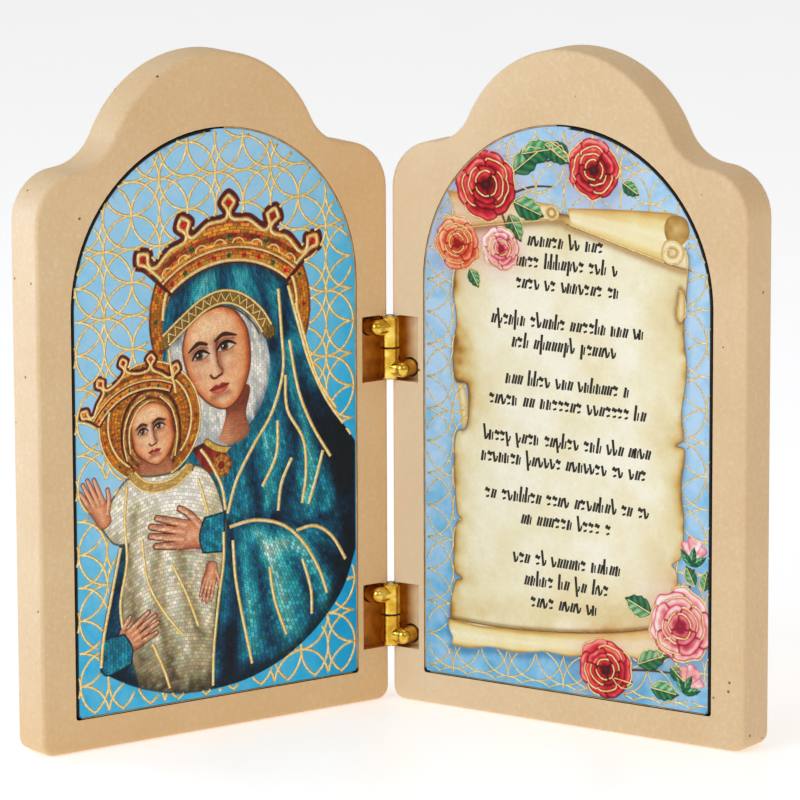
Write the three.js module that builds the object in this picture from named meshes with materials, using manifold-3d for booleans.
// A tabletop religious diptych: two arched panels joined by two pin hinges.
// Millimetres, +Z up. The faces look towards -Y and the hinge line is at the back.
import * as THREE from 'three';
import * as BufferGeometryUtils from 'three/addons/utils/BufferGeometryUtils.js';
import Module from 'manifold-3d';

const wasm = await Module();
wasm.setup();

// Panels: width, height and thickness, with the curves of the shouldered arch.
const PANEL_WIDTH = 83.3;
const PANEL_HEIGHT = 136;
const PANEL_THICKNESS = 9.4;
const PANEL_EDGE = 0.8;
const FOOT_RADIUS = 2.6;
const SHOULDER_RADIUS = 9.95;
const SHOULDER_HEIGHT = 105.3;
const NECK_RADIUS = 10.4;
const CROWN_RADIUS = 25.8;

// Picture plates and the recesses that hold them.
const PLATE_SIDE_MARGIN = 8.05;
const PLATE_FOOT_MARGIN = 6.8;
const PLATE_SPRING_HEIGHT = 87.15;
const PLATE_CORNER = 0.6;
const PLATE_THICKNESS = 1.2;
const PLATE_SUNK = 0.15;
const FIT_GAP = 0.3;
const PLATE_GAP = 0.4;

// Hinges: the axis lies just in front of the two faces, beyond the inner edges.
const HALF_OPENING = THREE.MathUtils.degToRad(55);
const AXIS_TO_FACE = 0.2;
const AXIS_TO_EDGE = 0.3;
const HINGE_HEIGHTS = { upper: 72.7, lower: 17.6 };
const BARREL_RADIUS = 2.04;
const BARREL_HALF = 6.4;
const BARREL_CHAMFER = 0.25;
const PIN_RADIUS = 0.7;
const ARM_RADIUS = 1.75;
const ARM_INSET = 2.15;
const ARM_REACH = 3.1;
const PEG_DEPTH = 3;

// Pockets cut in the inner edges so that the hinges lie between the faces.
const POCKET_HALF = 6.7;
const POCKET_REACH = 6.7;
const POCKET_DEPTH = 2.6;

const BEIGE = { color: 0xdcbf94, roughness: 0.62, metalness: 0 };
const BRASS = { color: 0xe0b32e, roughness: 0.22, metalness: 1 };
const PIN_BRASS = { color: 0xb98f2c, roughness: 0.35, metalness: 1 };
const ICON_PRINT = { color: 0x4c94a4, roughness: 0.4, metalness: 0 };
const VERSE_PRINT = { color: 0xe6dcb8, roughness: 0.4, metalness: 0 };

function toManifold(geometry) {
  const bare = geometry.clone();
  bare.deleteAttribute('normal');
  bare.deleteAttribute('uv');
  const welded = BufferGeometryUtils.mergeVertices(bare, 1e-4);
  return new wasm.Manifold(new wasm.Mesh({
    numProp: 3,
    vertProperties: new Float32Array(welded.attributes.position.array),
    triVerts: new Uint32Array(welded.index.array),
  }));
}

function toGeometry(solid) {
  const mesh = solid.getMesh();
  const geometry = new THREE.BufferGeometry();
  geometry.setAttribute('position', new THREE.BufferAttribute(mesh.vertProperties, 3));
  geometry.setIndex(new THREE.BufferAttribute(mesh.triVerts, 1));
  const faceted = geometry.toNonIndexed();
  faceted.computeVertexNormals();
  return faceted;
}

// The points of an arc from one angle to another, in degrees, without its first point.
function arcPoints(centre, radius, from, to, steps) {
  const points = [];
  for (let i = 1; i <= steps; i += 1) {
    const angle = THREE.MathUtils.degToRad(from + ((to - from) * i) / steps);
    points.push(new THREE.Vector2(
      centre.x + radius * Math.cos(angle),
      centre.y + radius * Math.sin(angle),
    ));
  }
  return points;
}

function mirrored(points) {
  return points.map((p) => new THREE.Vector2(-p.x, p.y)).reverse();
}

// The neck is the hollow curve that touches both the shoulder arc and the crown arc.
function neckCentre(shoulder, crown) {
  const toShoulder = SHOULDER_RADIUS + NECK_RADIUS;
  const toCrown = CROWN_RADIUS + NECK_RADIUS;
  const line = crown.clone().sub(shoulder);
  const span = line.length();
  const along = (toShoulder ** 2 - toCrown ** 2 + span ** 2) / (2 * span);
  const across = Math.sqrt(toShoulder ** 2 - along ** 2);
  line.normalize();
  return new THREE.Vector2(
    shoulder.x + line.x * along + line.y * across,
    shoulder.y + line.y * along - line.x * across,
  );
}

function angleTo(from, to) {
  return THREE.MathUtils.radToDeg(Math.atan2(to.y - from.y, to.x - from.x));
}

// Half of the panel's outline, from the middle of its foot up its right side to the top.
function panelShape() {
  const half = PANEL_WIDTH / 2;
  const foot = new THREE.Vector2(half - FOOT_RADIUS, FOOT_RADIUS);
  const shoulder = new THREE.Vector2(half - SHOULDER_RADIUS, SHOULDER_HEIGHT);
  const crown = new THREE.Vector2(0, PANEL_HEIGHT - CROWN_RADIUS);
  const neck = neckCentre(shoulder, crown);
  const shoulderEnd = angleTo(shoulder, neck);
  const crownStart = angleTo(crown, neck);
  const side = [
    new THREE.Vector2(half - FOOT_RADIUS, 0),
    ...arcPoints(foot, FOOT_RADIUS, -90, 0, 5),
    new THREE.Vector2(half, SHOULDER_HEIGHT),
    ...arcPoints(shoulder, SHOULDER_RADIUS, 0, shoulderEnd, 9),
    ...arcPoints(neck, NECK_RADIUS, shoulderEnd + 180, crownStart + 180, 8),
    ...arcPoints(crown, CROWN_RADIUS, crownStart, 90, 16),
  ];
  return new THREE.Shape([...side, ...mirrored(side.slice(0, -1))]);
}

// A round-arched picture outline, larger or smaller all round by the given amount.
function archShape(offset) {
  const half = PANEL_WIDTH / 2 - PLATE_SIDE_MARGIN + offset;
  const low = PLATE_FOOT_MARGIN - offset;
  const corner = new THREE.Vector2(half - PLATE_CORNER, low + PLATE_CORNER);
  const side = [
    new THREE.Vector2(half - PLATE_CORNER, low),
    ...arcPoints(corner, PLATE_CORNER, -90, 0, 3),
    new THREE.Vector2(half, PLATE_SPRING_HEIGHT),
    ...arcPoints(new THREE.Vector2(0, PLATE_SPRING_HEIGHT), half, 0, 90, 24),
  ];
  return new THREE.Shape([...side, ...mirrored(side.slice(0, -1))]);
}

// An outline stood upright, with its front at the given depth behind the hinge plane.
function uprightExtrusion(shape, front, thickness, edge) {
  const geometry = new THREE.ExtrudeGeometry(shape, {
    depth: thickness - 2 * edge,
    bevelEnabled: edge > 0,
    bevelThickness: edge,
    bevelSize: edge,
    bevelOffset: -edge,
    bevelSegments: 3,
  });
  geometry.rotateX(Math.PI / 2);
  geometry.translate(0, front + thickness - edge, 0);
  return geometry;
}

// From the hinge axis to the middle of a panel, along the panel.
const PANEL_MIDDLE = AXIS_TO_EDGE + PANEL_WIDTH / 2;

// side is 1 for the right panel and -1 for the left one.
function panelGeometry(side) {
  let solid = toManifold(uprightExtrusion(
    panelShape(),
    AXIS_TO_FACE,
    PANEL_THICKNESS,
    PANEL_EDGE,
  ).translate(side * PANEL_MIDDLE, 0, 0));
  const recessDepth = PLATE_SUNK + PLATE_THICKNESS + FIT_GAP;
  const recess = uprightExtrusion(archShape(PLATE_GAP), AXIS_TO_FACE - 1, recessDepth + 1, 0);
  solid = solid.subtract(toManifold(recess.translate(side * PANEL_MIDDLE, 0, 0)));
  for (const height of Object.values(HINGE_HEIGHTS)) {
    const pocket = new THREE.BoxGeometry(POCKET_REACH + 1, POCKET_DEPTH + 1, 2 * POCKET_HALF);
    pocket.translate(
      (side * (POCKET_REACH - 1)) / 2,
      AXIS_TO_FACE + (POCKET_DEPTH - 1) / 2,
      height,
    );
    solid = solid.subtract(toManifold(pocket));
    const reach = PEG_DEPTH + FIT_GAP;
    const hole = new THREE.CylinderGeometry(ARM_RADIUS + FIT_GAP, ARM_RADIUS + FIT_GAP, reach + 1, 20);
    hole.translate(
      side * ARM_REACH,
      AXIS_TO_FACE + POCKET_DEPTH + (reach - 1) / 2,
      height - side * (BARREL_HALF - ARM_INSET),
    );
    solid = solid.subtract(toManifold(hole));
  }
  return toGeometry(solid);
}

function plateGeometry(side) {
  const front = AXIS_TO_FACE + PLATE_SUNK;
  const plate = uprightExtrusion(archShape(0), front, PLATE_THICKNESS, 0.12);
  return plate.translate(side * PANEL_MIDDLE, 0, 0);
}

// A leaf: half of the barrel, an arm out of its side, a ball at the bend and a peg into the panel.
// It is drawn for the left panel, with its arm towards -X and its knuckle on top.
function leafGeometry() {
  const bore = PIN_RADIUS + FIT_GAP;
  const low = FIT_GAP / 2;
  const knuckle = new THREE.LatheGeometry([
    new THREE.Vector2(bore, low),
    new THREE.Vector2(BARREL_RADIUS - 0.1, low),
    new THREE.Vector2(BARREL_RADIUS, low + 0.1),
    new THREE.Vector2(BARREL_RADIUS, BARREL_HALF - BARREL_CHAMFER),
    new THREE.Vector2(BARREL_RADIUS - BARREL_CHAMFER, BARREL_HALF),
    new THREE.Vector2(bore, BARREL_HALF),
    new THREE.Vector2(bore, low),
  ], 28);
  knuckle.rotateX(Math.PI / 2);
  const armHeight = BARREL_HALF - ARM_INSET;
  const arm = new THREE.CylinderGeometry(ARM_RADIUS, ARM_RADIUS, ARM_REACH, 20);
  arm.rotateZ(Math.PI / 2);
  arm.translate(-ARM_REACH / 2, 0, armHeight);
  const ball = new THREE.SphereGeometry(ARM_RADIUS, 20, 12);
  ball.rotateZ(Math.PI / 2);
  ball.translate(-ARM_REACH, 0, armHeight);
  const pegLength = AXIS_TO_FACE + POCKET_DEPTH + PEG_DEPTH;
  const peg = new THREE.CylinderGeometry(ARM_RADIUS, ARM_RADIUS, pegLength, 20);
  peg.translate(-ARM_REACH, pegLength / 2, armHeight);
  const through = new THREE.CylinderGeometry(bore, bore, 2 * BARREL_HALF, 28);
  through.rotateX(Math.PI / 2);
  through.translate(0, 0, armHeight);
  return toGeometry(
    toManifold(arm)
      .add(toManifold(ball))
      .add(toManifold(peg))
      .subtract(toManifold(through))
      .add(toManifold(knuckle)),
  );
}

function pinGeometry() {
  const chamfer = 0.15;
  const pin = new THREE.LatheGeometry([
    new THREE.Vector2(0, -BARREL_HALF),
    new THREE.Vector2(PIN_RADIUS - chamfer, -BARREL_HALF),
    new THREE.Vector2(PIN_RADIUS, -BARREL_HALF + chamfer),
    new THREE.Vector2(PIN_RADIUS, BARREL_HALF - chamfer),
    new THREE.Vector2(PIN_RADIUS - chamfer, BARREL_HALF),
    new THREE.Vector2(0, BARREL_HALF),
  ], 20);
  return pin.rotateX(Math.PI / 2);
}

function namedMesh(name, geometry, finish) {
  const mesh = new THREE.Mesh(geometry, new THREE.MeshStandardMaterial(finish));
  mesh.name = name;
  return mesh;
}

// One half of the diptych: a panel, its plate and the hinge leaves that carry it.
function diptychHalf(sideName, side, plateFinish, leaf) {
  const half = new THREE.Group();
  half.rotation.z = -side * (Math.PI / 2 - HALF_OPENING);
  half.add(namedMesh(`${sideName}_panel`, panelGeometry(side), BEIGE));
  half.add(namedMesh(`${sideName}_plate`, plateGeometry(side), plateFinish));
  for (const [level, height] of Object.entries(HINGE_HEIGHTS)) {
    const hingeLeaf = namedMesh(`${level}_hinge_${sideName}_leaf`, leaf, BRASS);
    hingeLeaf.position.z = height;
    hingeLeaf.rotation.y = side > 0 ? Math.PI : 0;
    half.add(hingeLeaf);
  }
  return half;
}

const diptych = new THREE.Group();
const leaf = leafGeometry();
diptych.add(diptychHalf('left', -1, ICON_PRINT, leaf));
diptych.add(diptychHalf('right', 1, VERSE_PRINT, leaf));
for (const [level, height] of Object.entries(HINGE_HEIGHTS)) {
  const pin = namedMesh(`${level}_hinge_pin`, pinGeometry(), PIN_BRASS);
  pin.position.z = height;
  diptych.add(pin);
}

// The hinge line stands back from the middle of the footprint.
const footprint = new THREE.Box3().setFromObject(diptych);
diptych.position.y = -(footprint.min.y + footprint.max.y) / 2;

export default diptych;
